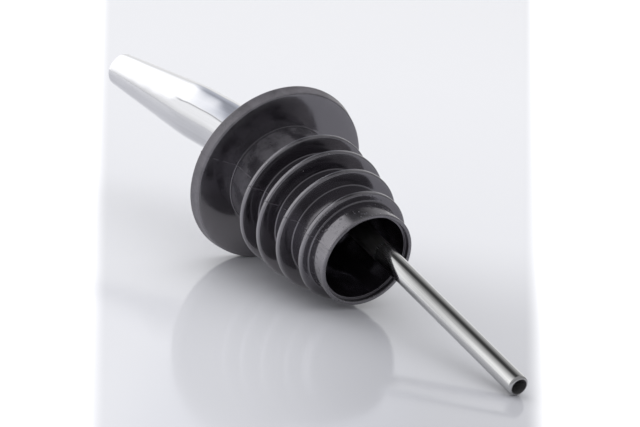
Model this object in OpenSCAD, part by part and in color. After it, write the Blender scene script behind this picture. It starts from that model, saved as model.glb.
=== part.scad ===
// Free-flow liquor pourer: a ribbed stopper, a bent tapered spout and a breather tube.
// Z points up out of the bottle, and X is the way the spout bends. The origin is on the
// stopper's axis, level with the flange's underside, which comes down on the bottle's lip.

/* [Flange] */
// Diameter of the flange that covers the bottle's lip, at its top edge
flange_d = 34.2; // [30:0.2:40]
// Thickness of the flange at its rim
flange_t = 2.2; // [2:0.1:4]
// Draft of the rim: how much smaller its radius is at the lower edge
flange_draft = 0.5; // [0:0.05:0.8]
// Drop of the flange's underside from its rim to the neck
flange_dish = 0.1; // [0:0.05:1]
// Rise of the flange's top from its rim to the spout
flange_crown = 1.4; // [0.2:0.1:2]

/* [Ribs] */
// Number of sealing ribs
rib_count = 4; // [3:1:5]
// Diameter of the largest rib, the one nearest the flange
rib_d = 26; // [25.4:0.2:29]
// Growth of the fall in rib radius, per square of the rib's number
rib_fall = 0.28; // [0:0.02:0.4]
// Depth of the first rib's root below the flange
first_rib = 8.3; // [7:0.1:12]
// Distance from one rib to the next
rib_pitch = 5.4; // [4.6:0.1:7]
// Thickness of a rib at its rounded rim
rib_rim = 0.9; // [0.7:0.1:1.6]
// Thickness of a rib where it meets the core
rib_root = 2.5; // [2:0.1:3.4]
// Drop of a rib's rim towards the mouth, from the middle of its root
rib_droop = 0.8; // [0:0.1:1]

/* [Stopper body] */
// Diameter of the neck under the flange
neck_d = 20.2; // [19:0.2:22]
// Diameter of the plain lip at the open end
lip_d = 17.8; // [17:0.1:18.6]
// Length of the plain lip, from the last rib to the mouth
lip_run = 6; // [4.5:0.1:8]
// Thickness of the wall round the hollow
lip_wall = 1.05; // [0.8:0.05:1.4]
// Width of the step just inside the mouth
mouth_step = 0.35; // [0.1:0.05:0.5]
// Depth of the step just inside the mouth
mouth_step_depth = 1; // [0.5:0.1:2]
// Depth below the flange to which the stopper grips the spout
grip_depth = 12; // [10:0.2:15]

/* [Spout] */
// Diameter of the spout where the stopper grips it
base_d = 11.6; // [10.8:0.1:12.4]
// Diameter of the spout at the bend
spout_d = 10.3; // [9.4:0.1:10.6]
// Diameter of the pouring tip
tip_d = 6.4; // [5.6:0.1:8]
// Thickness of the spout's wall
spout_wall = 0.5; // [0.4:0.05:0.6]
// Height of the start of the bend above the stopper
bend_rise = 8.8; // [8.4:0.1:14]
// Radius of the bend, on the spout's centre line
bend_r = 50; // [30:1:120]
// Angle of the bend
bend_angle = 9.6; // [5:0.2:20]
// Length of plain tube between the bend and the taper
plain_len = 8; // [3:0.5:14]
// Length of the taper
taper_len = 24.5; // [16:0.5:40]
// Width of the turned-out foot below the stopper's shoulder
foot_w = 1.2; // [0.8:0.1:1.3]
// Height of the rolled bead that snaps into the stopper
bead_h = 0.5; // [0.3:0.05:0.8]
// Length of the rolled bead along the spout
bead_len = 2; // [1.6:0.1:3]
// Depth of the rolled bead below the flange
bead_depth = 5; // [3:0.2:7]
// Clearance all round between the spout and the stopper
turn_gap = 0.05; // [0.02:0.01:0.1]

/* [Breather tube] */
// Diameter of the breather tube
tube_d = 3.7; // [3.4:0.1:4.2]
// Bore of the breather tube
tube_bore = 2.65; // [2.2:0.05:3]
// Length of the breather tube below the flange
tube_reach = 74.5; // [50:0.5:110]
// Lean of the breather tube towards the axis
tube_lean = 0.9; // [0:0.1:1.2]
// Clearance between the breather tube and the back of the spout
tube_gap = 0.17; // [0.12:0.01:0.3]
// Radius of the breather tube's turn to the vent, on its centre line
vent_turn_r = 6; // [5:0.2:7]
// Height of the start of that turn above the stopper
vent_rise = 0.4; // [0.2:0.1:1]

/* [Braze] */
// Gap round the breather tube that the braze fills
braze_gap = 0.1; // [0.06:0.01:0.12]
// Width of the braze ring on the outside of the spout
braze_w = 0.6; // [0.3:0.05:0.7]
// Height of the braze ring above the spout's surface
braze_h = 0.25; // [0.1:0.05:0.4]

/* [Hidden] */
$fn = 96;
arc_steps = 4;

// Rounded edges
rim_round = 0.4;
flange_edge_round = 0.4;
flange_root_round = 0.15;
rib_rim_round = 0.35;
rib_root_round = 0.3;
lip_round = 0.25;
inner_round = 0.3;
taper_round = 60;
tip_round = 0.2;
tube_end_roll = 0.6;
bead_round = 0.3;
base_round = 0.3;
foot_round = 0.15;
foot_bore_round = 0.2;

// Largest share of an edge that the roundings at its two ends may take together
round_share = 0.9;

// Stopper
flange_r = flange_d / 2;
neck_r = neck_d / 2;
lip_r = lip_d / 2;
cavity_r = lip_r - lip_wall;
mouth_r = cavity_r + mouth_step;
stopper_top = flange_t + flange_crown;
last_rib = first_rib + (rib_count - 1) * rib_pitch;
stopper_depth = last_rib + lip_run;

// Spout
base_r = base_d / 2;
spout_r = spout_d / 2;
tip_r = tip_d / 2;
seat_r = base_r + turn_gap;
bend_z = stopper_top + bend_rise;
neck_z = stopper_top + vent_rise;
bend_end = [bend_r * (1 - cos(bend_angle)), 0, bend_z + bend_r * sin(bend_angle)];

// Hair by which the plain ends of the spout lap over its bend, inside and outside, and its length
lap = 0.01;
lap_len = 0.3;
plain_r = spout_r + lap;
plain_bore_r = spout_r - spout_wall - lap;

// Breather tube
tube_r = tube_d / 2;
tube_bore_r = tube_bore / 2;
tube_x = base_r - spout_wall - tube_gap - tube_r;
vent_angle = 80;

// Unit vector from a to b
function way(a, b) = (b - a) / norm(b - a);

// A point [r, z, rounding] without its rounding
function flat(p) = [p[0], p[1]];

// Length that the rounding at p may take of its edge to q, which is shared if q is rounded too
function room(p, q) = round_share / (q[2] > 0 ? 2 : 1) * norm(flat(q) - flat(p));

// Points of the arc that rounds the corner p between its neighbours
function corner(before, p, after) =
    let (b = flat(p), u = way(b, flat(before)), v = way(b, flat(after)), half = acos(u * v) / 2)
    let (run = min(p[2] / tan(half), room(p, before), room(p, after)))
    let (fillet = run * tan(half), centre = b + way([0, 0], u + v) * fillet / sin(half))
    let (from = way(centre, b + u * run), to = way(centre, b + v * run), sweep = 180 - 2 * half)
    [for (i = [0 : arc_steps])
        let (k = i / arc_steps)
        centre + fillet * (from * sin((1 - k) * sweep) + to * sin(k * sweep)) / sin(sweep)];

// Outline through points [r, z, rounding]: a corner with no rounding stays sharp
function rounded(p) =
    let (n = len(p))
    [for (i = [0 : n - 1])
        each p[i][2] > 0
            ? corner(p[(i + n - 1) % n], p[i], p[(i + 1) % n])
            : [flat(p[i])]];

// Radius of the stopper's core at a depth below the flange
function core_r(depth) = neck_r + (lip_r - neck_r) * min(1, depth / last_rib);

// Outside radius of rib number i, counted from 0
function rib_r(i) = rib_d / 2 - rib_fall * i * i;

// Outline of rib number i, from its root on the flange's side to its root on the mouth's side
function rib_points(i) =
    let (mid = first_rib + i * rib_pitch, rim = mid + rib_droop)
    let (top = mid - rib_root / 2, foot = mid + rib_root / 2)
    [[core_r(top), -top, rib_root_round],
     [rib_r(i), -rim + rib_rim / 2, rib_rim_round],
     [rib_r(i), -rim - rib_rim / 2, rib_rim_round],
     [core_r(foot), -foot, rib_root_round]];

// The rolled bead as a bump of the given extra size on a wall of radius r, going down
function bead_points(r, extra) =
    [[r, -bead_depth + bead_len / 2 + extra, bead_round],
     [r + bead_h, -bead_depth + bead_len / 4 + extra, bead_round],
     [r + bead_h, -bead_depth - bead_len / 4 - extra, bead_round],
     [r, -bead_depth - bead_len / 2 - extra, bead_round]];

function reversed(p) = [for (i = [len(p) - 1 : -1 : 0]) p[i]];

module stopper() {
    flange = [
        [seat_r, stopper_top, inner_round],
        [flange_r, flange_t, rim_round],
        [flange_r - flange_draft, 0, flange_edge_round],
        [neck_r, -flange_dish, flange_root_round]];
    ribs = [for (i = [0 : rib_count - 1]) each rib_points(i)];
    mouth = [
        [lip_r, -stopper_depth, lip_round],
        [mouth_r, -stopper_depth, lip_round],
        [mouth_r, -stopper_depth + mouth_step_depth, 0],
        [cavity_r, -stopper_depth + mouth_step_depth, 0],
        [cavity_r, -grip_depth, inner_round],
        [seat_r, -grip_depth, inner_round]];
    color([0.09, 0.09, 0.095])
        rotate_extrude()
            polygon(rounded(concat(flange, ribs, mouth, reversed(bead_points(seat_r, turn_gap)))));
}

// Part of the spout below the bend, with its foot and bead, lapped over the bend's start
module spout_base() {
    foot_top = -grip_depth - turn_gap;
    bore_r = base_r - spout_wall;
    outside = concat(
        [[plain_r, bend_z + lap_len, 0], [plain_r, bend_z, 0], [base_r, neck_z, base_round]],
        bead_points(base_r, 0),
        [[base_r, foot_top, 0],
         [base_r + foot_w, foot_top, foot_round],
         [base_r + foot_w, foot_top - spout_wall, foot_round]]);
    inside = concat(
        [[bore_r, foot_top - spout_wall, foot_bore_round]],
        reversed(bead_points(bore_r, 0)),
        [[bore_r, neck_z, base_round], [plain_bore_r, bend_z, 0], [plain_bore_r, bend_z + lap_len, 0]]);
    rotate_extrude()
        polygon(rounded(concat(outside, inside)));
}

// Bend of the spout, which turns its centre line towards +X
module spout_bend() {
    translate([bend_r, 0, bend_z])
        rotate([90, 0, 180])
            rotate_extrude(angle = bend_angle)
                translate([bend_r, 0])
                    difference() {
                        circle(spout_r);
                        circle(spout_r - spout_wall);
                    }
}

// Plain tube and taper above the bend, up to the pouring tip, lapped over the bend's end
module spout_taper() {
    tip_z = plain_len + taper_len;
    translate(bend_end)
        rotate([0, bend_angle, 0])
            rotate_extrude()
                polygon(rounded([
                    [plain_r, -lap_len, 0],
                    [plain_r, plain_len, taper_round],
                    [tip_r, tip_z, tip_round],
                    [tip_r - spout_wall, tip_z, tip_round],
                    [plain_bore_r, plain_len, taper_round],
                    [plain_bore_r, -lap_len, 0]]));
}

// Solid inside a surface that lies the given height off the spout, from the neck to the bend
module spout_neck_solid(height) {
    translate([0, 0, neck_z])
        cylinder(h = bend_z - neck_z, r1 = base_r + height, r2 = plain_r + height);
}

// Puts children in the breather tube's frame, where its straight part lies along Z
module along_tube() {
    translate([-tube_x, 0, 0])
        rotate([0, -tube_lean, 0])
            children();
}

// Turned end of the breather tube as a solid of radius r, from its straight part out past the vent
module vent_turn(r) {
    translate([-vent_turn_r, 0, neck_z])
        rotate([90, 0, 0])
            rotate_extrude(angle = vent_angle)
                translate([vent_turn_r, 0])
                    circle(r);
}

module pour_spout() {
    color([0.82, 0.82, 0.84])
        difference() {
            union() {
                spout_base();
                spout_bend();
                spout_taper();
            }
            along_tube()
                vent_turn(tube_r + braze_gap);
        }
}

// Straight tube and turned end, before its end is trimmed flush with the braze
module whole_tube() {
    rotate_extrude()
        polygon(rounded([
            [tube_r, neck_z, 0],
            [tube_bore_r, neck_z, 0],
            [tube_bore_r, -tube_reach, 0],
            [tube_r, -tube_reach, tube_end_roll]]));
    difference() {
        vent_turn(tube_r);
        vent_turn(tube_bore_r);
    }
}

module breather_tube() {
    color([0.76, 0.76, 0.77])
        difference() {
            along_tube()
                whole_tube();
            difference() {
                translate([0, 0, neck_z])
                    cylinder(h = bend_z - neck_z, r = base_d);
                spout_neck_solid(braze_h);
            }
        }
}

module vent_braze() {
    color([0.72, 0.7, 0.66])
        difference() {
            union() {
                intersection() {
                    along_tube()
                        vent_turn(tube_r + braze_w);
                    difference() {
                        spout_neck_solid(braze_h);
                        spout_neck_solid(0);
                    }
                }
                intersection() {
                    along_tube()
                        vent_turn(tube_r + braze_gap);
                    difference() {
                        spout_neck_solid(0);
                        spout_neck_solid(-spout_wall);
                    }
                }
            }
            along_tube()
                vent_turn(tube_r);
        }
}

stopper();
pour_spout();
breather_tube();
vent_braze();
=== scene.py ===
# Looks of a free-flow liquor pourer: ribbed rubber stopper, bent steel spout and breather tube.
# Sizes are in millimetres until a piece is made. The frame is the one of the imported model.
import math

import bmesh
import bpy
from mathutils import Matrix, Vector


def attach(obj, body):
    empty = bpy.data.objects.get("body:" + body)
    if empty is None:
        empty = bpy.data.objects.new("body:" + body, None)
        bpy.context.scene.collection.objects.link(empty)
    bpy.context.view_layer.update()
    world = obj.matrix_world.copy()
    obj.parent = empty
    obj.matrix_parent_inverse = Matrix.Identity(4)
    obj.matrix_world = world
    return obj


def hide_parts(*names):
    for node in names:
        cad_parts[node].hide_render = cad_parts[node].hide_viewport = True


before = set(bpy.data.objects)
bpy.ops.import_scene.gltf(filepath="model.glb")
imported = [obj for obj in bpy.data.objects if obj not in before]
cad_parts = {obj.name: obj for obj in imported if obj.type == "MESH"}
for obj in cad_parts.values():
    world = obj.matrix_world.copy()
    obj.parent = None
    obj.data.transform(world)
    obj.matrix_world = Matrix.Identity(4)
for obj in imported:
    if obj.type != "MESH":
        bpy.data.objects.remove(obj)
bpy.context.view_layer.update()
MM = 0.001
UP = Vector((0, 0, 1))
NO_HEIGHT = (1, 1, 0)
# Distance below which two points are one
POINT_SIZE = 0.001

# Stopper
FLANGE_R = 17.1
FLANGE_T = 2.2
FLANGE_DRAFT = 0.5
FLANGE_DISH = 0.1
FLANGE_CROWN = 1.4
NECK_R = 10.1
RIB_COUNT = 4
RIB_R = 13.0
RIB_FALL = 0.28
FIRST_RIB = 8.3
RIB_PITCH = 5.4
RIB_RIM = 0.9
RIB_ROOT = 2.5
RIB_DROOP = 0.8
LIP_R = 8.9
LIP_RUN = 6.0
CAVITY_R = 7.85
MOUTH_R = 8.2
MOUTH_STEP_DEPTH = 1.0
GRIP_DEPTH = 12.0
TURN_GAP = 0.05
STOPPER_TOP = FLANGE_T + FLANGE_CROWN
LAST_RIB = FIRST_RIB + (RIB_COUNT - 1) * RIB_PITCH
STOPPER_DEPTH = LAST_RIB + LIP_RUN

# Flash of the mould seam, and waver of the moulded skin
SEAM_ANGLE = 68.0
SEAM_H = 0.1
SEAM_W = 0.16
SEAM_GATHERING = 0.8
SEAM_TOP = FLANGE_T + 0.5
SEAM_OFF_RIMS = 0.35
SKIN_DEPTH = 0.3
SKIN_WAVER = 0.05
FULL_SKIN = 0.85

# Spout
BASE_R = 5.8
SPOUT_R = 5.15
TIP_R = 3.2
SPOUT_WALL = 0.5
BEND_Z = STOPPER_TOP + 8.8
BEND_R = 50.0
BEND_ANGLE = 9.6
BEND_LEN = BEND_R * math.radians(BEND_ANGLE)
PLAIN_LEN = 8.0
TAPER_LEN = 24.5
FOOT_W = 1.2
BEAD_H = 0.5
BEAD_LEN = 2.0
BEAD_DEPTH = 5.0

# Breather tube and its braze
TUBE_R = 1.85
TUBE_BORE_R = 1.325
TUBE_REACH = 74.5
TUBE_LEAN = 0.9
TUBE_X = 3.28
VENT_TURN_R = 6.0
VENT_Z = STOPPER_TOP + 0.4
VENT_ANGLE = 80.0
VENT_END = VENT_Z + VENT_TURN_R * math.radians(VENT_ANGLE)
BRAZE_GAP = 0.1
BRAZE_H = 0.25

# Rounded edges
RIM_ROUND = 0.4
FLANGE_EDGE_ROUND = 0.4
FLANGE_ROOT_ROUND = 0.15
RIB_RIM_ROUND = 0.35
RIB_ROOT_ROUND = 0.3
LIP_ROUND = 0.25
MOUTH_STEP_ROUND = 0.08
INNER_ROUND = 0.3
BEAD_ROUND = 0.3
BASE_ROUND = 0.6
FOOT_ROUND = 0.15
FOOT_BORE_ROUND = 0.2
BEND_ROUND = 3.0
TAPER_ROUND = 60.0
TIP_ROUND = 0.2
TUBE_END_ROLL = 0.6
ROUND_SHARE = 0.9
SHARP_ANGLE = 35
WEAR_FADE = 6

# Noise, by its scale per metre and its detail
WAVER_NOISE = (160.0, 2.0)
FLASH_NOISE = (900.0, 1.0)
RUBBER_CLOUD = (260.0, 4.0)
RUBBER_GRAIN = (4200.0, 3.0)
RUBBER_SWELL = (420.0, 1.0)
RUBBER_NICKS = (1500.0, 2.0)
STEEL_SMEAR = (190.0, 3.0)
STEEL_WAVE = (110.0, 1.0)
BRAZE_LUMP = (1500.0, 3.0)
DRAW_DETAIL = 4.0
DRAW_STRETCH = 60.0
DUST_SCALE = 620.0

# Colours of the rubber and the metals
RUBBER_DARK = (0.0075, 0.0065, 0.0085, 1)
RUBBER_PALE = (0.013, 0.0115, 0.0145, 1)
RUBBER_WORN = (0.09, 0.088, 0.093, 1)
RUBBER_BLOOM = (0.05, 0.049, 0.053, 1)
RUBBED_DARK = (0.088, 0.083, 0.092, 1)
RUBBED_PALE = (0.168, 0.158, 0.175, 1)
RUBBER_SHEEN = (1.0, 0.965, 1.03, 1)
RUBBER_IOR = 2.55
DUST = (0.3, 0.29, 0.29, 1)
DUST_COVER = 0.55
SPOUT_TINT = (0.6, 0.6, 0.615)
TUBE_TINT = (0.62, 0.62, 0.615)
STEEL_DULL = 0.06
# Dark colour of the tube's film, painted shade where the tube runs up inside the stopper
STEEL_PAINTED_SHADE = (0.06, 0.06, 0.058, 1)
DULL_BORE = (0.12, 0.118, 0.12, 1)
BRAZE_DARK = (0.56, 0.53, 0.47, 1)
BRAZE_PALE = (0.74, 0.71, 0.64, 1)

# Heights and radii between which wear, scuffs, haze and painted shade come in or fade out
NECK_BLOOM_LOW = (-7.2, -5.5)
NECK_BLOOM_HIGH = (-0.9, -0.2)
LIP_SCUFF = (-26.5, -24.5)
FLANGE_TOP = (0.5, 2.1)
RIM_RUB = (FLANGE_R - 0.75, FLANGE_R - 0.45)
OUTER_SKIN = (MOUTH_R - 0.2, MOUTH_R + 0.1)
BORE_EDGE = (TUBE_BORE_R + 0.05, TUBE_BORE_R + 0.2)
# The tube's film comes in here: rougher, and darkened as painted shade inside the stopper's hollow
TUBE_FILM_AND_SHADE = (-33.0, -24.0)
FILM_AND_SHADE_WANDER = 4
TUBE_BREATH = (-38.0, -30.0)


class Wire:
    """A socket that takes part in sums like a number."""

    def __init__(self, bench, socket):
        self.bench = bench
        self.socket = socket

    def __add__(self, other):
        return self.bench.maths("ADD", self, other)

    def __radd__(self, other):
        return self.bench.maths("ADD", other, self)

    def __sub__(self, other):
        return self.bench.maths("SUBTRACT", self, other)

    def __rsub__(self, other):
        return self.bench.maths("SUBTRACT", other, self)

    def __mul__(self, other):
        return self.bench.maths("MULTIPLY", self, other)

    def __rmul__(self, other):
        return self.bench.maths("MULTIPLY", other, self)

    def __truediv__(self, other):
        return self.bench.maths("DIVIDE", self, other)

    def __rtruediv__(self, other):
        return self.bench.maths("DIVIDE", other, self)


class Bench:
    """Lays out the nodes of one tree."""

    def __init__(self, tree):
        self.tree = tree

    def node(self, kind, settings=None, sockets=None):
        """Adds a node and gives its outputs as wires, by place and by name."""
        made = self.tree.nodes.new(kind)
        for name, value in (settings or {}).items():
            setattr(made, name, value)
        for name, value in (sockets or {}).items():
            if isinstance(value, Wire):
                self.tree.links.new(value.socket, made.inputs[name])
            else:
                made.inputs[name].default_value = value
        wires = {}
        for place, socket in enumerate(made.outputs):
            wires[place] = Wire(self, socket)
            wires.setdefault(socket.name, wires[place])
        return wires

    def maths(self, operation, *values):
        """One step of a sum."""
        return self.node("ShaderNodeMath", {"operation": operation}, dict(enumerate(values)))[0]

    def vector(self, operation, first, second):
        """One step of a sum on vectors."""
        return self.node("ShaderNodeVectorMath", {"operation": operation}, {0: first, 1: second})["Vector"]

    def scaled(self, vector, amount):
        """A vector made longer by an amount."""
        sockets = {0: vector, "Scale": amount}
        return self.node("ShaderNodeVectorMath", {"operation": "SCALE"}, sockets)["Vector"]

    def length(self, vector):
        """The length of a vector."""
        return self.node("ShaderNodeVectorMath", {"operation": "LENGTH"}, {0: vector})["Value"]

    def reach(self, place, way):
        """How far a place lies along a direction."""
        return self.node("ShaderNodeVectorMath", {"operation": "DOT_PRODUCT"}, {0: place, 1: way})["Value"]

    def noise(self, place, scale, detail):
        """Cloudy noise round a middle of 0.5."""
        return self.node("ShaderNodeTexNoise", None, {"Vector": place, "Scale": scale, "Detail": detail})[0]

    def attribute(self, name):
        """A value that is kept in the mesh."""
        return self.node("ShaderNodeAttribute", {"attribute_name": name})["Fac"]

    def band(self, value, low, high):
        """0 below low and 1 above high, with a soft step between."""
        settings = {"interpolation_type": "SMOOTHSTEP"}
        return self.node("ShaderNodeMapRange", settings, {0: value, 1: low, 2: high})[0]

    def window(self, value, rise, fall):
        """1 between a soft rise and a soft fall, each given by its two ends, and 0 outside them."""
        return self.band(value, *rise) * (1 - self.band(value, *fall))

    def stepped(self, value, start, *steps):
        """A level with soft steps, each given by its two ends and its change."""
        for low, high, change in steps:
            start = start + self.band(value, low, high) * change
        return start

    def ramp(self, value, low, high):
        """0 at low and 1 at high, with a straight climb between."""
        return self.node("ShaderNodeMapRange", None, {0: value, 1: low, 2: high})[0]

    def mix(self, share, first, second):
        """A colour that goes from first to second."""
        return self.node("ShaderNodeMix", {"data_type": "RGBA"}, {0: share, 6: first, 7: second})[2]

    def bump(self, height, strength, distance):
        """A normal that follows a height."""
        sockets = {"Strength": strength, "Distance": distance, "Height": height}
        return self.node("ShaderNodeBump", None, sockets)[0]

    def shader(self, sockets):
        """A surface with those values."""
        return self.node("ShaderNodeBsdfPrincipled", None, sockets)[0]

    def blend(self, share, first, second):
        """A surface that goes from first to second."""
        return self.node("ShaderNodeMixShader", None, {0: share, 1: first, 2: second})[0]

    def output(self, surface):
        """Ends a material's tree."""
        self.node("ShaderNodeOutputMaterial", None, {"Surface": surface})


# Outlines, as corners of (r, z, rounding, worn)
def rounded(corners, steps):
    """The points of a closed outline with its roundings as short arcs, each point with its wear."""
    points = []
    count = len(corners)
    for i, (r, z, size, worn) in enumerate(corners):
        here = Vector((r, z))
        before = Vector(corners[i - 1][:2]) - here
        after = Vector(corners[(i + 1) % count][:2]) - here
        if size <= 0:
            points.append((here, worn))
            continue
        half = before.angle(after) / 2
        room_before = before.length * ROUND_SHARE / (2 if corners[i - 1][2] > 0 else 1)
        room_after = after.length * ROUND_SHARE / (2 if corners[(i + 1) % count][2] > 0 else 1)
        run = min(size / math.tan(half), room_before, room_after)
        fillet = run * math.tan(half)
        before.normalize()
        after.normalize()
        centre = here + (before + after).normalized() * (fillet / math.sin(half))
        start = here + before * run - centre
        end = here + after * run - centre
        sweep = math.pi - 2 * half
        for k in range(steps + 1):
            share = k / steps
            way = start * math.sin((1 - share) * sweep) + end * math.sin(share * sweep)
            points.append((centre + way / math.sin(sweep), worn))
    return points


def spread(points, longest):
    """The same closed outline with its long straights cut up, and wear that fades quickly along them."""
    pieces = []
    for (a, worn_a), (b, worn_b) in zip(points, points[1:] + points[:1]):
        parts = max(1, math.ceil((b - a).length / longest))
        for k in range(parts):
            share = k / parts
            worn = worn_a * (1 - share) ** WEAR_FADE + worn_b * share ** WEAR_FADE
            pieces.append((a.lerp(b, share), worn))
    return pieces


def core_r(depth):
    """Radius of the stopper between its ribs."""
    return NECK_R + (LIP_R - NECK_R) * min(1, depth / LAST_RIB)


def rib_outline(i):
    """One rib, from its root on the flange's side to its root on the mouth's side."""
    middle = FIRST_RIB + i * RIB_PITCH
    rim = middle + RIB_DROOP
    radius = RIB_R - RIB_FALL * i * i
    top = middle - RIB_ROOT / 2
    foot = middle + RIB_ROOT / 2
    return [
        (core_r(top), -top, RIB_ROOT_ROUND, 0),
        (radius, -rim + RIB_RIM / 2, RIB_RIM_ROUND, 1),
        (radius, -rim - RIB_RIM / 2, RIB_RIM_ROUND, 1),
        (core_r(foot), -foot, RIB_ROOT_ROUND, 0),
    ]


def bead_outline(r, extra):
    """The rolled bead on a wall of radius r, going down."""
    return [
        (r, -BEAD_DEPTH + BEAD_LEN / 2 + extra, BEAD_ROUND, 0),
        (r + BEAD_H, -BEAD_DEPTH + BEAD_LEN / 4 + extra, BEAD_ROUND, 0),
        (r + BEAD_H, -BEAD_DEPTH - BEAD_LEN / 4 - extra, BEAD_ROUND, 0),
        (r, -BEAD_DEPTH - BEAD_LEN / 2 - extra, BEAD_ROUND, 0),
    ]


def stopper_outline():
    """The stopper from the top of its flange down its ribs, and up through its hollow."""
    seat_r = BASE_R + TURN_GAP
    outline = [
        (seat_r, STOPPER_TOP, INNER_ROUND, 0),
        (FLANGE_R, FLANGE_T, RIM_ROUND, 1),
        (FLANGE_R - FLANGE_DRAFT, 0, FLANGE_EDGE_ROUND, 1),
        (NECK_R, -FLANGE_DISH, FLANGE_ROOT_ROUND, 0),
    ]
    for i in range(RIB_COUNT):
        outline += rib_outline(i)
    outline += [
        (LIP_R, -STOPPER_DEPTH, LIP_ROUND, 1),
        (MOUTH_R, -STOPPER_DEPTH, LIP_ROUND, 1),
        (MOUTH_R, -STOPPER_DEPTH + MOUTH_STEP_DEPTH, MOUTH_STEP_ROUND, 0),
        (CAVITY_R, -STOPPER_DEPTH + MOUTH_STEP_DEPTH, MOUTH_STEP_ROUND, 0),
        (CAVITY_R, -GRIP_DEPTH, INNER_ROUND, 0),
        (seat_r, -GRIP_DEPTH, INNER_ROUND, 0),
    ]
    outline += reversed(bead_outline(seat_r, TURN_GAP))
    return outline


def spout_outline():
    """The spout's wall as if its line were straight, with height 0 at the start of the bend."""
    taper = BEND_LEN + PLAIN_LEN
    tip = taper + TAPER_LEN
    foot = -GRIP_DEPTH - TURN_GAP
    bore = BASE_R - SPOUT_WALL
    below = [(BASE_R, VENT_Z, BASE_ROUND, 0)] + bead_outline(BASE_R, 0)
    below += [
        (BASE_R, foot, 0, 0),
        (BASE_R + FOOT_W, foot, FOOT_ROUND, 0),
        (BASE_R + FOOT_W, foot - SPOUT_WALL, FOOT_ROUND, 0),
        (bore, foot - SPOUT_WALL, FOOT_BORE_ROUND, 0),
    ]
    below += reversed(bead_outline(bore, 0))
    below += [(bore, VENT_Z, BASE_ROUND, 0)]
    below = [(r, z - BEND_Z, size, worn) for r, z, size, worn in below]
    above = [
        (SPOUT_R - SPOUT_WALL, 0, BEND_ROUND, 0),
        (SPOUT_R - SPOUT_WALL, taper, TAPER_ROUND, 0),
        (TIP_R - SPOUT_WALL, tip, TIP_ROUND, 0),
        (TIP_R, tip, TIP_ROUND, 0),
        (SPOUT_R, taper, TAPER_ROUND, 0),
        (SPOUT_R, 0, BEND_ROUND, 0),
    ]
    return below + above


# Lines that the pieces follow, as a centre and an across direction at a length s
def stopper_line(s):
    """The stopper's own axis."""
    return Vector((0, 0, s)), Vector((1, 0, 0))


def spout_line(s):
    """The spout, from the start of its bend."""
    angle = min(max(s, 0) / BEND_LEN, 1) * math.radians(BEND_ANGLE)
    centre = Vector((BEND_R * (1 - math.cos(angle)), 0, BEND_Z + BEND_R * math.sin(angle)))
    over = s - BEND_LEN if s > BEND_LEN else min(s, 0)
    centre += Vector((math.sin(angle), 0, math.cos(angle))) * over
    return centre, Vector((math.cos(angle), 0, -math.sin(angle)))


def tube_line(s):
    """The breather tube, straight up to the vent's height and then round its turn."""
    lean = Matrix.Rotation(-math.radians(TUBE_LEAN), 3, "Y")
    angle = max(s - VENT_Z, 0) / VENT_TURN_R
    centre = Vector((VENT_TURN_R * (math.cos(angle) - 1), 0, min(s, VENT_Z)))
    centre.z += VENT_TURN_R * math.sin(angle)
    across = Vector((math.cos(angle), 0, math.sin(angle)))
    return lean @ centre - Vector((TUBE_X, 0, 0)), lean @ across


def no_seam(point):
    """Pieces that come from no mould have no seam."""
    return 0.0


def stopper_seam(point):
    """The mould's seam runs down the outside of the stopper, below the top of its flange."""
    return 1.0 if point.x > core_r(-point.y) - SKIN_DEPTH and point.y < SEAM_TOP else 0.0


def stations_on(line, outline, longest, steps=8, seam=no_seam):
    """Stations of (centre, across, size, worn, seam) for an outline that follows a line."""
    stations = []
    points = spread(rounded(outline, steps), longest)
    for point, worn in points + points[:1]:
        centre, across = line(point.y)
        stations.append((centre, across, point.x, worn, seam(point)))
    return stations


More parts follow.
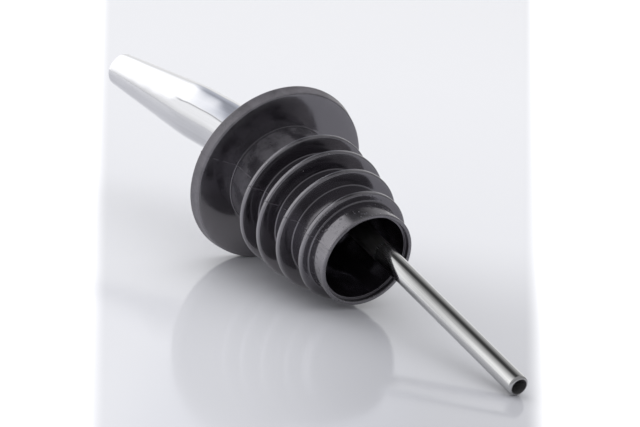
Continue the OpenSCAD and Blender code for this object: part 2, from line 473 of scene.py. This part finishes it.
# Pieces skinned over rings
def ring_tree():
    """Geometry nodes that set a ring of points round each station and skin the rings."""
    tree = bpy.data.node_groups.new("rings along a line", "GeometryNodeTree")
    inputs = {
        "Stations": "NodeSocketGeometry",
        "Steps round": "NodeSocketInt",
        "Gathering": "NodeSocketFloat",
        "Seam angle": "NodeSocketFloat",
        "Seam height": "NodeSocketFloat",
        "Seam width": "NodeSocketFloat",
        "Waver": "NodeSocketFloat",
        "Finish": "NodeSocketMaterial",
    }
    for name, kind in inputs.items():
        tree.interface.new_socket(name, in_out="INPUT", socket_type=kind)
    tree.interface.new_socket("Piece", in_out="OUTPUT", socket_type="NodeSocketGeometry")
    bench = Bench(tree)
    given = bench.node("NodeGroupInput")
    stations = given["Stations"]
    steps = given["Steps round"]
    count = bench.node("GeometryNodeAttributeDomainSize", None, {0: stations})["Point Count"]
    sizes = {"Size X": steps, "Size Y": count - 1, "Vertices X": steps + 1, "Vertices Y": count}
    rings = bench.node("GeometryNodeMeshGrid", None, sizes)["Mesh"]
    place = bench.node("GeometryNodeInputPosition")[0]
    cell = bench.node("ShaderNodeSeparateXYZ", None, {0: place})
    even = (cell["X"] / steps + 0.5) * math.tau
    ease = bench.maths("SINE", (even - given["Seam angle"]) * 2)
    turn = even - ease * given["Gathering"] * 0.5
    row = bench.maths("ROUND", cell["Y"] + (count - 1) * 0.5)

    def at_station(kind, value):
        settings = {"data_type": kind, "domain": "POINT"}
        sockets = {"Geometry": stations, "Value": value, "Index": row}
        return bench.node("GeometryNodeSampleIndex", settings, sockets)["Value"]

    def named(kind, name):
        value = bench.node("GeometryNodeInputNamedAttribute", {"data_type": kind}, {"Name": name})[0]
        return at_station(kind, value)

    centre = at_station("FLOAT_VECTOR", place)
    across = named("FLOAT_VECTOR", "across")
    size = named("FLOAT", "size")
    worn = named("FLOAT", "worn")
    seam_share = named("FLOAT", "seam")
    side = bench.node("ShaderNodeCombineXYZ", None, {1: 1.0})[0]
    way = bench.vector(
        "ADD",
        bench.scaled(across, bench.maths("COSINE", turn)),
        bench.scaled(side, bench.maths("SINE", turn)),
    )

    off_seam = bench.maths("ABSOLUTE", bench.maths("SINE", turn - given["Seam angle"])) * size
    skin = bench.vector("ADD", centre, bench.scaled(way, size))
    flash = bench.band(bench.noise(skin, *FLASH_NOISE), 0.3, 0.6)
    seam = (1 - bench.band(off_seam, 0.0, given["Seam width"])) * seam_share * flash
    waver = (bench.noise(skin, *WAVER_NOISE) - FULL_SKIN) * given["Waver"] * seam_share
    radius = size + seam * (SEAM_OFF_RIMS + worn) * given["Seam height"] + waver
    for name, value in (("worn", worn), ("seam", seam)):
        settings = {"data_type": "FLOAT", "domain": "POINT"}
        sockets = {"Geometry": rings, "Name": name, "Value": value}
        rings = bench.node("GeometryNodeStoreNamedAttribute", settings, sockets)[0]
    place = bench.vector("ADD", centre, bench.scaled(way, radius))
    rings = bench.node("GeometryNodeSetPosition", None, {0: rings, "Position": place})[0]
    rings = bench.node("GeometryNodeMergeByDistance", None, {0: rings, "Distance": POINT_SIZE * MM})[0]
    rings = bench.node("GeometryNodeSetShadeSmooth", None, {0: rings})[0]
    rings = bench.node("GeometryNodeRealizeInstances", None, {0: rings})[0]
    rings = bench.node("GeometryNodeSetMaterial", None, {0: rings, "Material": given["Finish"]})[0]
    bench.node("NodeGroupOutput", None, {0: rings})
    return tree


RING_TREE = ring_tree()


def put(name, data):
    """A new object in the scene, at the origin."""
    thing = bpy.data.objects.new(name, data)
    bpy.context.scene.collection.objects.link(thing)
    return thing


def plain_mesh(thing):
    """The mesh of an object as its modifiers leave it."""
    return bpy.data.meshes.new_from_object(thing.evaluated_get(bpy.context.evaluated_depsgraph_get()))


def outwards(mesh):
    """Turns the faces of a closed mesh outwards."""
    work = bmesh.new()
    work.from_mesh(mesh)
    bmesh.ops.recalc_face_normals(work, faces=work.faces)
    work.to_mesh(mesh)
    work.free()


def ring_piece(name, stations, steps, finish, gathering=0.0, seam_height=0.0, waver=0.0):
    """A piece skinned over the rings at its stations."""
    line = bpy.data.meshes.new(name + "_line")
    line.from_pydata([s[0] * MM for s in stations], [], [])
    line.attributes.new("across", "FLOAT_VECTOR", "POINT")
    line.attributes["across"].data.foreach_set("vector", [x for s in stations for x in s[1]])
    for key, column, unit in (("size", 2, MM), ("worn", 3, 1), ("seam", 4, 1)):
        line.attributes.new(key, "FLOAT", "POINT")
        line.attributes[key].data.foreach_set("value", [s[column] * unit for s in stations])
    maker = put(name + "_maker", line)
    rings = maker.modifiers.new("rings", "NODES")
    rings.node_group = RING_TREE
    values = {
        "Steps round": steps,
        "Gathering": gathering,
        "Seam angle": math.radians(SEAM_ANGLE),
        "Seam height": seam_height * MM,
        "Seam width": SEAM_W * MM,
        "Waver": waver * MM,
        "Finish": finish,
    }
    for item in RING_TREE.interface.items_tree:
        if item.name in values:
            rings[item.identifier] = values[item.name]
    made = plain_mesh(maker)
    bpy.data.objects.remove(maker)
    made.name = name
    outwards(made)
    return put(name, made)


def cut(piece, tool):
    """Cuts the tool's volume out of the piece."""
    carve = piece.modifiers.new("cut", "BOOLEAN")
    carve.operation = "DIFFERENCE"
    carve.solver = "EXACT"
    carve.object = tool
    done = plain_mesh(piece)
    piece.modifiers.remove(carve)
    piece.data = done
    done.set_sharp_from_angle(angle=math.radians(SHARP_ANGLE))
    bpy.data.objects.remove(tool)


# Finishes
def finish_bench(name):
    """A new material, its bench and the place on the piece."""
    material = bpy.data.materials.new(name)
    material.use_nodes = True
    material.node_tree.nodes.clear()
    bench = Bench(material.node_tree)
    return material, bench, bench.node("ShaderNodeTexCoord")["Object"]


def black_rubber():
    """Semi-gloss moulded rubber with rubbed rims, dull patches and a little dust."""
    material, bench, place = finish_bench("black_rubber")
    worn = bench.attribute("worn")
    seam = bench.attribute("seam")
    cloud = bench.noise(place, *RUBBER_CLOUD)
    grain = bench.noise(place, *RUBBER_GRAIN)
    swell = bench.noise(place, *RUBBER_SWELL)
    nicks = bench.noise(place, *RUBBER_NICKS)
    out = bench.length(bench.vector("MULTIPLY", place, NO_HEIGHT)) / MM
    height_up = bench.reach(place, UP) / MM
    outside = bench.band(out, *OUTER_SKIN)

    specks = bench.node("ShaderNodeTexVoronoi", None, {"Vector": place, "Scale": DUST_SCALE})
    pick = bench.node("ShaderNodeSeparateColor", None, {0: specks["Color"]})[0]
    dust = (1 - bench.band(specks["Distance"], 0.03, 0.075)) * bench.band(pick + worn * 0.25, 0.78, 0.82)
    dust = dust * outside
    scuff = bench.band(nicks, 0.56, 0.7) * (1 - bench.band(height_up, *LIP_SCUFF)) * outside
    neck = bench.window(height_up, NECK_BLOOM_LOW, NECK_BLOOM_HIGH)
    bloom = neck * bench.band(cloud, 0.32, 0.62)
    height = grain * 0.03 + swell * 1.2 + dust * 0.8 - scuff * 1.5
    bump = bench.bump(height, 0.3, 0.03 * MM)

    base = bench.mix(bench.band(cloud, 0.3, 0.7), RUBBER_DARK, RUBBER_PALE)
    base = bench.mix(worn * bench.band(cloud + grain * 0.4, 0.4, 0.8) * 0.7, base, RUBBER_WORN)
    base = bench.mix(bloom * 0.8, base, RUBBER_BLOOM)
    base = bench.mix(dust * DUST_COVER, base, DUST)
    rough = 0.11 + bench.band(cloud, 0.4, 0.75) * 0.06 + worn * 0.06
    rough = rough + dust * 0.4 + seam * 0.06 + scuff * 0.15
    look = {"Base Color": base, "Roughness": rough, "Normal": bump}
    gloss = bench.shader({**look, "IOR": RUBBER_IOR, "Specular Tint": RUBBER_SHEEN})

    shade = bench.band(cloud + grain * 0.4, 0.35, 0.8) - bench.band(height_up, *FLANGE_TOP) * 0.6
    tone = bench.mix(shade, RUBBED_DARK, RUBBED_PALE)
    tone = bench.mix(dust * DUST_COVER, tone, DUST)
    matte = bench.shader({"Base Color": tone, "Roughness": 0.45 + grain * 0.15, "Normal": bump})
    rubbed = bench.band(out, *RIM_RUB) * (0.65 + bench.band(cloud, 0.35, 0.65) * 0.25)
    rubbed = rubbed + seam * 0.45 + bloom * 0.4
    bench.output(bench.blend(rubbed, gloss, matte))
    return material


def drawn_steel(name, tint, lean, line_scale, marks, waves, haze_and_painted_shade):
    """Bright steel with draw marks along a tube that leans, slow waves, haze inside the mouth, and a rough
    film whose dark colour is painted shade up inside the stopper.
    """
    material, bench, place = finish_bench(name)
    stretch = {"Rotation": (0.0, math.radians(lean), 0.0), "Scale": (1.0, 1.0, DRAW_STRETCH)}
    drawn = bench.node("ShaderNodeMapping", {"vector_type": "TEXTURE"}, {"Vector": place, **stretch})[0]
    lines = bench.noise(drawn, line_scale, DRAW_DETAIL)
    smear = bench.noise(place, *STEEL_SMEAR)
    wave = bench.noise(place, *STEEL_WAVE)
    off = bench.vector("ADD", drawn, (TUBE_X * MM, 0, 0))
    off = bench.length(bench.vector("MULTIPLY", off, NO_HEIGHT)) / MM
    inside = (1 - bench.band(off, *BORE_EDGE)) * haze_and_painted_shade
    height_up = bench.reach(place, UP) / MM
    # Painted shade: the tube darkens going up into the stopper's hollow; the same mask makes it rougher
    film_and_painted_shade = bench.band(height_up + smear * FILM_AND_SHADE_WANDER, *TUBE_FILM_AND_SHADE) * haze_and_painted_shade
    breath = bench.band(height_up, *TUBE_BREATH) * haze_and_painted_shade

    dark = [c * (1 - marks) for c in tint]
    base = bench.mix(bench.band(lines, 0.35, 0.65), (*dark, 1), (*tint, 1))
    base = bench.mix(film_and_painted_shade, base, STEEL_PAINTED_SHADE)
    base = bench.mix(inside, base, DULL_BORE)
    rough = STEEL_DULL + bench.band(smear, 0.5, 0.8) * STEEL_DULL * 0.4
    rough = rough + bench.band(lines, 0.4, 0.7) * marks * 0.4
    rough = rough + inside * 0.45 + film_and_painted_shade * 0.2 + breath * 0.2
    bump = bench.bump(wave * waves * MM + lines * 0.001 * MM * marks, 1.0, 1.0)
    look = {"Base Color": base, "Roughness": rough, "Metallic": 1 - inside * 0.6, "Normal": bump}
    bench.output(bench.shader(look))
    return material


def silver_braze():
    """Slightly yellow braze, lumpy where it set."""
    material, bench, place = finish_bench("silver_braze")
    lump = bench.noise(place, *BRAZE_LUMP)
    base = bench.mix(bench.band(lump, 0.35, 0.7), BRAZE_DARK, BRAZE_PALE)
    rough = 0.24 + bench.band(lump, 0.4, 0.7) * 0.18
    bump = bench.bump(lump, 0.5, 0.06 * MM)
    bench.output(bench.shader({"Base Color": base, "Roughness": rough, "Metallic": 1.0, "Normal": bump}))
    return material


# Pieces
def make_stopper():
    """The moulded stopper, with the flash of its seam."""
    stations = stations_on(stopper_line, stopper_outline(), longest=0.4, steps=6, seam=stopper_seam)
    piece = ring_piece(
        "rubber_stopper",
        stations,
        steps=192,
        finish=black_rubber(),
        gathering=SEAM_GATHERING,
        seam_height=SEAM_H,
        waver=SKIN_WAVER,
    )
    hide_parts("stopper")
    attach(piece, "stopper_body")


def vent_tool(radius):
    """The turned end of the breather tube as a solid of that radius, from the tube to past the vent."""
    outline = [
        (POINT_SIZE, VENT_Z, 0, 0),
        (radius, VENT_Z, 0, 0),
        (radius, VENT_END, 0, 0),
        (POINT_SIZE, VENT_END, 0, 0),
    ]
    return ring_piece("vent_tool", stations_on(tube_line, outline, longest=0.25), steps=96, finish=None)


def trim_tool():
    """A ring round the spout's base that leaves the braze's height clear."""
    outline = [
        (BASE_R + BRAZE_H, VENT_Z, 0, 0),
        (2 * BASE_R, VENT_Z, 0, 0),
        (2 * BASE_R, BEND_Z, 0, 0),
        (SPOUT_R + BRAZE_H, BEND_Z, 0, 0),
    ]
    return ring_piece("trim_tool", stations_on(stopper_line, outline, longest=0.5), steps=192, finish=None)


def make_spout():
    """The bent spout, with the hole for its vent."""
    finish = drawn_steel(
        "bright_spout_steel", SPOUT_TINT, BEND_ANGLE, line_scale=1500.0, marks=0.05, waves=0.1, haze_and_painted_shade=0.0
    )
    stations = stations_on(spout_line, spout_outline(), longest=0.6)
    piece = ring_piece("steel_spout", stations, steps=128, finish=finish)
    cut(piece, vent_tool(TUBE_R + BRAZE_GAP))
    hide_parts("pour_spout")
    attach(piece, "spout_body")


def make_tube():
    """The breather tube, trimmed to the curve of the spout where it comes out."""
    finish = drawn_steel(
        "drawn_tube_steel", TUBE_TINT, -TUBE_LEAN, line_scale=5200.0, marks=0.1, waves=0.0, haze_and_painted_shade=0.9
    )
    outline = [
        (TUBE_BORE_R, -TUBE_REACH, 0, 0),
        (TUBE_R, -TUBE_REACH, TUBE_END_ROLL, 0),
        (TUBE_R, VENT_END, 0, 0),
        (TUBE_BORE_R, VENT_END, 0, 0),
    ]
    stations = stations_on(tube_line, outline, longest=0.7)
    piece = ring_piece("steel_breather_tube", stations, steps=96, finish=finish)
    cut(piece, trim_tool())
    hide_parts("breather_tube")
    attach(piece, "spout_body")


def dress_braze():
    """The braze keeps its CAD shape and gets its finish."""
    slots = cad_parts["vent_braze"].data.materials
    slots.clear()
    slots.append(silver_braze())


make_stopper()
make_spout()
make_tube()
dress_braze()

# Stage, laid out so that the pourer lies on its flange and its breather tube
FLOOR_UP = Vector((-0.78322, 0.58263, 0.21703)).normalized()
FLOOR_DROP = 16.212 * MM
LOOK_RIGHT = Vector((-0.691, -0.519, -0.503)).normalized()
LOOK_UP = Vector((-0.7226, 0.4965, 0.481))
LOOK_UP = (LOOK_UP - LOOK_RIGHT * LOOK_UP.dot(LOOK_RIGHT)).normalized()
LOOK_BACK = LOOK_RIGHT.cross(LOOK_UP)
STAGE_RIGHT = (LOOK_RIGHT - FLOOR_UP * LOOK_RIGHT.dot(FLOOR_UP)).normalized()
STAGE_DEPTH = FLOOR_UP.cross(STAGE_RIGHT)
CAMERA_PLACE = Vector((-0.117, 340.67, -365.66)) * MM
CAMERA_LENS = 157.5
CAMERA_SENSOR = 36
CAMERA_CLIP = (0.01, 20)
WHITE = (1, 1, 1, 1)

# Floor, with its size in metres, and places to the right and into the picture in millimetres
FLOOR_R = 0.85
FLOOR_CORNERS = 96
FLOOR_FADE = (0.5, 0.8)
FLOOR_PALE = (0.77, 0.775, 0.805, 1)
# Floor colour of the painted shadow
FLOOR_PAINTED_SHADOW = (0.57, 0.574, 0.603, 1)
FLOOR_ROUGH = 0.1
FLOOR_IOR = 1.28
LEFT_MARGIN = (-35.0, -29.0)
LEFT_SLANT = 0.07
RIGHT_MARGIN = (46.5, 52.5)
RIGHT_SLANT = -0.072
MARGIN_GLOW = 0.8
# Into the picture and to the right, where the floor's painted shadow comes in
PAINTED_SHADOW_DEPTH = (-30.0, 40.0)
PAINTED_SHADOW_RIGHT = (-12.0, 26.0)
# Painted light: a patch of floor in front of the pourer that glows for glossy rays only, so the rubber
# reflects a lighter floor than the shadowed one
PAINTED_GLOW_FRONT = (-30.0, -14.0)
PAINTED_GLOW_BACK = (-4.0, 4.0)
PAINTED_GLOW_RIGHT = (6.0, 20.0)
PAINTED_GLOW_STRENGTH = 0.22

# Light tent, with places in millimetres along the stopper's axis and in degrees over the pourer
TENT_R = 150 * MM
TENT_LOW = -20 * MM
TENT_HIGH = 600 * MM
TENT_START = -140
TENT_SWEEP = 235
TENT_STEPS = 96
TENT_TOP = Vector((-0.6865, 0.7271, 0)).normalized()
TENT_BACK = Vector((-TENT_TOP.y, TENT_TOP.x, 0))
TENT_WHITE = (0.985, 0.99, 1.0, 1)
TENT_COOL = (0.92, 0.96, 1.08, 1)
TENT_FADE_LOW = (0.0, 30.0)
TENT_FADE_HIGH = (540.0, 590.0)
TENT_FADE_BACK = (75.0, 95.0)
LIP_STRIP_START = (98.0, 106.0)
LIP_STRIP_END = (130.0, 150.0)
FAR_HALF = (135.0, 160.0)
FAR_GAIN = 0.1
LEFT_EDGE = (-60.0, 6.0)
LEFT_EDGE_LIP_SHIFT = (47, -9)
LEFT_EDGE_FAR_SHIFT = (12, -45)
LEFT_LEVEL = (1.48, (45.0, 92.0, -0.42), (105.0, 140.0, 0.22))
LEFT_LIP_GAIN = 0.2
LEFT_FOOT = (-80.0, -115.0)
LEFT_FOOT_LOSS = 0.33
RIGHT_NEAR_LEVEL = 0.06
RIGHT_NEAR_RISE = (24.0, 66.0)
RIGHT_NEAR_GAIN = 0.5
RIGHT_FAR_LEVEL = (0.62, (-30.0, 40.0, -0.18), (45.0, 80.0, 0.2))
FOLD_ANGLE = -57.0
FOLD_BEND = (205.0, 170.0)
FOLD_BEND_ANGLE = 12
FOLD_EDGE = (0.0, 4.0)
CREASE_START = (-3.0, 0.0)
CREASE_END = (3.0, 7.0)
CREASE_FADE = (205.0, 240.0)
CREASE_LOSS = 0.5
WHITE_START = 176
WHITE_SLANT = 98
WHITE_SLANT_ANGLES = (-45.0, 52.0)
WHITE_EDGE = (-22.0, 30.0)
WHITE_BELOW_FOLD = (215.0, 240.0)
WHITE_LEVEL = (1.62, (50.0, 75.0, -0.5))

# Room, and lamp in metres and watts
ROOM_LEVEL = 0.66
ROOM_LEFT = (-0.75, 0.1)
ROOM_LEFT_GAIN = 0.22
ROOM_GLOSSY_LOSS = 0.5
ROOM_TINT = (0.985, 0.99, 1.02)
ROOM_BACKDROP = (0.5, 0.8)
LAMP_PLACE = (0.01, 0.13, 0.44)
LAMP_SIZE = 0.7
LAMP_POWER = 1.2


def stage_point(right, depth, up):
    """A point by its place to the right, into the picture and above the floor, in metres."""
    return STAGE_RIGHT * right + STAGE_DEPTH * depth + FLOOR_UP * (up - FLOOR_DROP)


def stand(thing, place, right, up, back):
    """Puts a lamp or a camera in its place, turned so that it looks away from its back."""
    thing.matrix_world = Matrix.Translation(place) @ Matrix((right, up, back)).transposed().to_4x4()


def stage_sheet(name, corners, faces, material):
    """A sheet made from its corners and faces, with its material."""
    sheet = bpy.data.meshes.new(name)
    sheet.from_pydata(corners, [], faces)
    sheet.materials.append(material)
    thing = put(name, sheet)
    return thing


def floor_finish():
    """Pale gloss with white margins, a painted shadow towards the front right, and painted light in front
    of the pourer that only reflections see; clear from below and far off.
    """
    material, bench, place = finish_bench("pale_floor")
    aside = bench.reach(place, STAGE_RIGHT) / MM
    deep = bench.reach(place, STAGE_DEPTH) / MM
    margins = 1 - bench.band(aside + deep * LEFT_SLANT, *LEFT_MARGIN)
    margins = margins + bench.band(aside + deep * RIGHT_SLANT, *RIGHT_MARGIN)
    # Painted shadow: the floor's colour darkens towards the front and the right, where the pourer's broad
    # shadow falls
    painted_shadow = (1 - bench.band(deep, *PAINTED_SHADOW_DEPTH)) * bench.band(aside, *PAINTED_SHADOW_RIGHT)
    base = bench.mix(painted_shadow, FLOOR_PALE, FLOOR_PAINTED_SHADOW)
    gloss = bench.shader({"Base Color": base, "Roughness": FLOOR_ROUGH, "IOR": FLOOR_IOR})
    path = bench.node("ShaderNodeLightPath")
    # Painted light: the floor just in front of the pourer glows for glossy rays only
    painted_glow = bench.window(deep, PAINTED_GLOW_FRONT, PAINTED_GLOW_BACK) * (1 - bench.band(aside, *PAINTED_GLOW_RIGHT))
    margin_and_painted_glow = margins * path["Is Camera Ray"] * MARGIN_GLOW + painted_glow * path["Is Glossy Ray"] * PAINTED_GLOW_STRENGTH
    glow = bench.node("ShaderNodeEmission", None, {"Color": WHITE, "Strength": margin_and_painted_glow})[0]
    lit = bench.node("ShaderNodeAddShader", None, {0: gloss, 1: glow})[0]
    clear = bench.node("ShaderNodeBsdfTransparent")[0]
    below = bench.node("ShaderNodeNewGeometry")["Backfacing"]
    gone = bench.maths("MAXIMUM", below, bench.band(bench.length(place), *FLOOR_FADE))
    bench.output(bench.blend(gone, lit, clear))
    return material


def make_floor():
    """A round floor that the pourer lies on."""
    angles = [math.tau * k / FLOOR_CORNERS for k in range(FLOOR_CORNERS)]
    corners = [stage_point(math.cos(a) * FLOOR_R, math.sin(a) * FLOOR_R, 0) for a in angles]
    stage_sheet("floor", corners, [list(range(FLOOR_CORNERS))], floor_finish())


def tent_light(bench, over, lengthways):
    """Strength and colour of the tent at an angle over the pourer and a length along its axis."""
    lip = bench.window(lengthways, LIP_STRIP_START, LIP_STRIP_END)
    far = bench.band(lengthways, *FAR_HALF)
    start, end = (
        edge + lip * lip_shift + far * far_shift
        for edge, lip_shift, far_shift in zip(LEFT_EDGE, LEFT_EDGE_LIP_SHIFT, LEFT_EDGE_FAR_SHIFT)
    )
    left = 1 - bench.ramp(over, start, end)
    left_level = bench.stepped(lengthways, *LEFT_LEVEL) + lip * LEFT_LIP_GAIN
    left_level = left_level * (1 - bench.ramp(over, *LEFT_FOOT) * LEFT_FOOT_LOSS)
    right_level = RIGHT_NEAR_LEVEL + bench.ramp(over, *RIGHT_NEAR_RISE) * RIGHT_NEAR_GAIN
    right_level = right_level * (1 - far) + far * bench.stepped(over, *RIGHT_FAR_LEVEL)

    off_fold = over - (FOLD_ANGLE + bench.ramp(lengthways, *FOLD_BEND) * FOLD_BEND_ANGLE)
    past_fold = bench.band(off_fold, *FOLD_EDGE)
    crease = bench.window(off_fold, CREASE_START, CREASE_END) * far
    crease = crease * (1 - bench.band(lengthways, *CREASE_FADE))
    white_start = bench.ramp(over, *WHITE_SLANT_ANGLES) * WHITE_SLANT + WHITE_START
    white = bench.band(lengthways - white_start, *WHITE_EDGE) * past_fold
    white = white + bench.band(lengthways, *WHITE_BELOW_FOLD) * (1 - past_fold)

    level = right_level * (1 - left) + left_level * left
    level = level * (1 - white) + white * bench.stepped(over, *WHITE_LEVEL)
    level = level * (1 - crease * CREASE_LOSS) * (1 + far * FAR_GAIN)
    return level, bench.mix(far * (1 - left) * (1 - white), TENT_WHITE, TENT_COOL)


def tent_finish():
    """Glowing cloth that fades out at its ends and its back edge."""
    material, bench, place = finish_bench("light_tent")
    over = bench.maths("ARCTAN2", bench.reach(place, TENT_BACK), bench.reach(place, TENT_TOP))
    over = over * math.degrees(1)
    lengthways = bench.reach(place, UP) / MM
    level, tone = tent_light(bench, over, lengthways)
    light = bench.node("ShaderNodeEmission", None, {"Color": tone, "Strength": level})[0]
    clear = bench.node("ShaderNodeBsdfTransparent")[0]
    ends = bench.band(lengthways, *TENT_FADE_HIGH) + (1 - bench.band(lengthways, *TENT_FADE_LOW))
    bench.output(bench.blend(ends + bench.band(over, *TENT_FADE_BACK), light, clear))
    return material


def make_tent():
    """A light tent arched over the pourer, along its axis, which only its glossy surfaces see."""
    corners = []
    for step in range(TENT_STEPS + 1):
        angle = math.radians(TENT_START + TENT_SWEEP * step / TENT_STEPS)
        rib = (TENT_TOP * math.cos(angle) + TENT_BACK * math.sin(angle)) * TENT_R
        corners += [rib + UP * TENT_LOW, rib + UP * TENT_HIGH]
    faces = [(2 * k, 2 * k + 1, 2 * k + 3, 2 * k + 2) for k in range(TENT_STEPS)]
    tent = stage_sheet("light_tent", corners, faces, tent_finish())
    tent.visible_camera = False
    tent.visible_diffuse = False
    tent.visible_shadow = False


def make_world():
    """A pale room, brighter on the left, with a white backdrop."""
    world = bpy.data.worlds.new("studio")
    world.use_nodes = True
    world.node_tree.nodes.clear()
    bench = Bench(world.node_tree)
    way = bench.node("ShaderNodeTexCoord")["Generated"]
    left = 1 - bench.band(bench.reach(way, STAGE_RIGHT), *ROOM_LEFT)
    path = bench.node("ShaderNodeLightPath")
    level = (ROOM_LEVEL + left * ROOM_LEFT_GAIN) * (1 - path["Is Glossy Ray"] * ROOM_GLOSSY_LOSS)
    tinted = {place: level * share for place, share in enumerate(ROOM_TINT)}
    colour = bench.node("ShaderNodeCombineColor", None, tinted)[0]
    backdrop = bench.band(bench.reach(way, STAGE_DEPTH), *ROOM_BACKDROP)
    colour = bench.mix(path["Is Camera Ray"] + path["Is Glossy Ray"] * backdrop, colour, WHITE)
    sky = bench.node("ShaderNodeBackground", None, {"Color": colour, "Strength": 1.0})[0]
    bench.node("ShaderNodeOutputWorld", None, {"Surface": sky})
    bpy.context.scene.world = world


def make_lamp():
    """A wide soft box over the pourer, a little behind it."""
    box = bpy.data.lights.new("overhead_box", "AREA")
    box.shape = "SQUARE"
    box.size = LAMP_SIZE
    box.energy = LAMP_POWER
    lamp = put("overhead_box", box)
    place = stage_point(*LAMP_PLACE)
    back = place.normalized()
    across = STAGE_RIGHT.cross(back).normalized()
    stand(lamp, place, across.cross(back), across, back)
    lamp.visible_glossy = False


def make_camera():
    """A camera that faces the mouth of the lying pourer from a little above the floor."""
    camera = bpy.data.cameras.new("camera")
    camera.lens = CAMERA_LENS
    camera.sensor_width = CAMERA_SENSOR
    camera.clip_start, camera.clip_end = CAMERA_CLIP
    viewer = put("camera", camera)
    stand(viewer, CAMERA_PLACE, LOOK_RIGHT, LOOK_UP, LOOK_BACK)
    bpy.context.scene.camera = viewer
    bpy.context.scene.view_settings.view_transform = "Standard"


make_floor()
make_world()
make_tent()
make_lamp()
make_camera()
